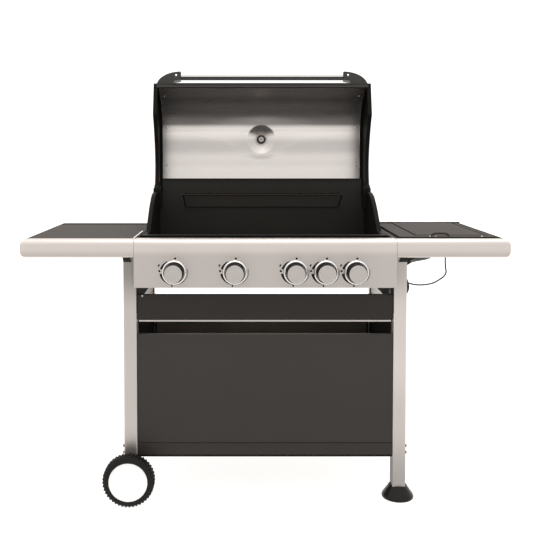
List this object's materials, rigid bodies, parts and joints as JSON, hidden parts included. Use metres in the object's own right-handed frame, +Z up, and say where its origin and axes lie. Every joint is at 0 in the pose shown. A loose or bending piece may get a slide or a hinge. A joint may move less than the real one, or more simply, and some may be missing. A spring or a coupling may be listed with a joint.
{
  "type": "gas barbecue grill",
  "caption": "Trolley gas barbecue with an open hinged lid, burners under cooking grates, side shelf, covered side burner, bottom shelf, wheels and feet.",
  "frame": {"origin": "middle of the footprint, on the floor", "axes": "+X to the user's right, +Y to the back, +Z up"},
  "size_m": [1.285, 0.6018, 1.1768],
  "materials": {
    "silver_paint": "satin silver-grey powder coat",
    "stainless": "brushed stainless steel",
    "burner_steel": "plain stainless tube, heat tinted",
    "chrome": "bright chrome plate",
    "zinc": "zinc plated steel",
    "graphite_paint": "fine textured graphite powder coat",
    "shelf_paint": "fine textured mid grey powder coat",
    "black_enamel": "semi-gloss black enamel",
    "cast_aluminium": "cast aluminium, dark heat-proof paint",
    "cast_iron": "seasoned matt cast iron",
    "brass": "machined brass",
    "black_plastic": "moulded black plastic",
    "wheel_rubber": "moulded black plastic wheel with tread lugs",
    "black_rubber": "matt rubber",
    "dial": "pale dial in a bright bezel",
    "needle_paint": "red painted pointer"
  },
  "bodies": {
    "cart": {"leg_front_left": "silver_paint", "leg_front_right": "silver_paint", "leg_rear_left": "silver_paint", "leg_rear_right": "silver_paint", "control_panel": "silver_paint", "shelf_fascia_left": "silver_paint", "shelf_fascia_right": "silver_paint", "burner_1": "burner_steel", "burner_2": "burner_steel", "burner_3": "burner_steel", "burner_4": "burner_steel", "towel_rail": "chrome", "axle": "zinc", "bottom_shelf": "graphite_paint", "front_panel": "graphite_paint", "front_valance": "graphite_paint", "rear_panel": "graphite_paint", "side_panel_left": "graphite_paint", "side_panel_right": "graphite_paint", "shelf_deck_left": "shelf_paint", "shelf_deck_right": "shelf_paint", "firebox_tub": "black_enamel", "warming_rack": "black_enamel", "side_burner": "black_enamel", "flame_tamer_1": "black_enamel", "flame_tamer_2": "black_enamel", "flame_tamer_3": "black_enamel", "flame_tamer_4": "black_enamel", "firebox_end_left": "cast_aluminium", "firebox_end_right": "cast_aluminium", "grate_left": "cast_iron", "grate_right": "cast_iron", "side_burner_trivet": "cast_iron", "gas_manifold": "brass", "foot_front": "black_plastic", "foot_rear": "black_plastic", "side_burner_hose": "black_rubber", "igniter_wire": "black_rubber"},
    "lid": {"lid_skin": "stainless", "lid_end_left": "cast_aluminium", "lid_end_right": "cast_aluminium", "handle_bracket_left": "black_plastic", "handle_bracket_right": "black_plastic", "handle_bar": "chrome", "thermometer": "dial"},
    "needle": {"thermometer_needle": "needle_paint"},
    "side_cover": {"side_burner_cover": "shelf_paint"},
    "grease_tray": {"grease_tray": "zinc"},
    "wheel_front": {"wheel_front": "wheel_rubber"},
    "wheel_rear": {"wheel_rear": "wheel_rubber"},
    "stem_1": {"valve_stem_1": "brass"},
    "knob_1": {"knob_1": "stainless"},
    "stem_2": {"valve_stem_2": "brass"},
    "knob_2": {"knob_2": "stainless"},
    "stem_3": {"valve_stem_3": "brass"},
    "knob_3": {"knob_3": "stainless"},
    "stem_side": {"valve_stem_side": "brass"},
    "knob_side": {"knob_side": "stainless"},
    "stem_4": {"valve_stem_4": "brass"},
    "knob_4": {"knob_4": "stainless"}
  },
  "joints": [
    {"name": "lid_hinge", "type": "hinge", "parent": "cart", "child": "lid", "pos_m": [0, 0.13935, 0.805], "axis": [1, 0, 0], "range_deg": [0, 105]},
    {"name": "side_cover_hinge", "type": "hinge", "parent": "cart", "child": "side_cover", "pos_m": [0.4975, 0.18215, 0.7003], "axis": [-1, 0, 0], "range_deg": [0, 100]},
    {"name": "grease_tray_slide", "type": "slide", "parent": "cart", "child": "grease_tray", "axis": [0, 1, 0], "range_m": [0, 0.28]},
    {"name": "wheel_front_spin", "type": "hinge", "parent": "cart", "child": "wheel_front", "pos_m": [-0.3575, -0.28265, 0.06785], "axis": [0, 1, 0], "continuous": true},
    {"name": "wheel_rear_spin", "type": "hinge", "parent": "cart", "child": "wheel_rear", "pos_m": [-0.3575, 0.23235, 0.06785], "axis": [0, 1, 0], "continuous": true},
    {"name": "thermometer_needle_turn", "type": "hinge", "parent": "lid", "child": "needle", "pos_m": [0, 0.27455, 0.96548], "axis": [0, -0.9994, -0.0348], "range_deg": [0, 250], "stiffness_Nm_per_rad": 0.002},
    {"name": "knob_1_push", "type": "slide", "parent": "cart", "child": "stem_1", "axis": [0, 1, 0], "range_m": [0, 0.004], "stiffness_N_per_m": 600, "springref_m": -0.003},
    {"name": "knob_1_turn", "type": "hinge", "parent": "stem_1", "child": "knob_1", "pos_m": [-0.2385, -0.28065, 0.612], "axis": [0, -1, 0], "range_deg": [0, 195]},
    {"name": "knob_2_push", "type": "slide", "parent": "cart", "child": "stem_2", "axis": [0, 1, 0], "range_m": [0, 0.004], "stiffness_N_per_m": 600, "springref_m": -0.003},
    {"name": "knob_2_turn", "type": "hinge", "parent": "stem_2", "child": "knob_2", "pos_m": [-0.0795, -0.28065, 0.612], "axis": [0, -1, 0], "range_deg": [0, 195]},
    {"name": "knob_3_push", "type": "slide", "parent": "cart", "child": "stem_3", "axis": [0, 1, 0], "range_m": [0, 0.004], "stiffness_N_per_m": 600, "springref_m": -0.003},
    {"name": "knob_3_turn", "type": "hinge", "parent": "stem_3", "child": "knob_3", "pos_m": [0.0795, -0.28065, 0.612], "axis": [0, -1, 0], "range_deg": [0, 195]},
    {"name": "knob_side_push", "type": "slide", "parent": "cart", "child": "stem_side", "axis": [0, 1, 0], "range_m": [0, 0.004], "stiffness_N_per_m": 600, "springref_m": -0.003},
    {"name": "knob_side_turn", "type": "hinge", "parent": "stem_side", "child": "knob_side", "pos_m": [0.159, -0.28065, 0.612], "axis": [0, -1, 0], "range_deg": [0, 195]},
    {"name": "knob_4_push", "type": "slide", "parent": "cart", "child": "stem_4", "axis": [0, 1, 0], "range_m": [0, 0.004], "stiffness_N_per_m": 600, "springref_m": -0.003},
    {"name": "knob_4_turn", "type": "hinge", "parent": "stem_4", "child": "knob_4", "pos_m": [0.2385, -0.28065, 0.612], "axis": [0, -1, 0], "range_deg": [0, 195]}
  ]
}
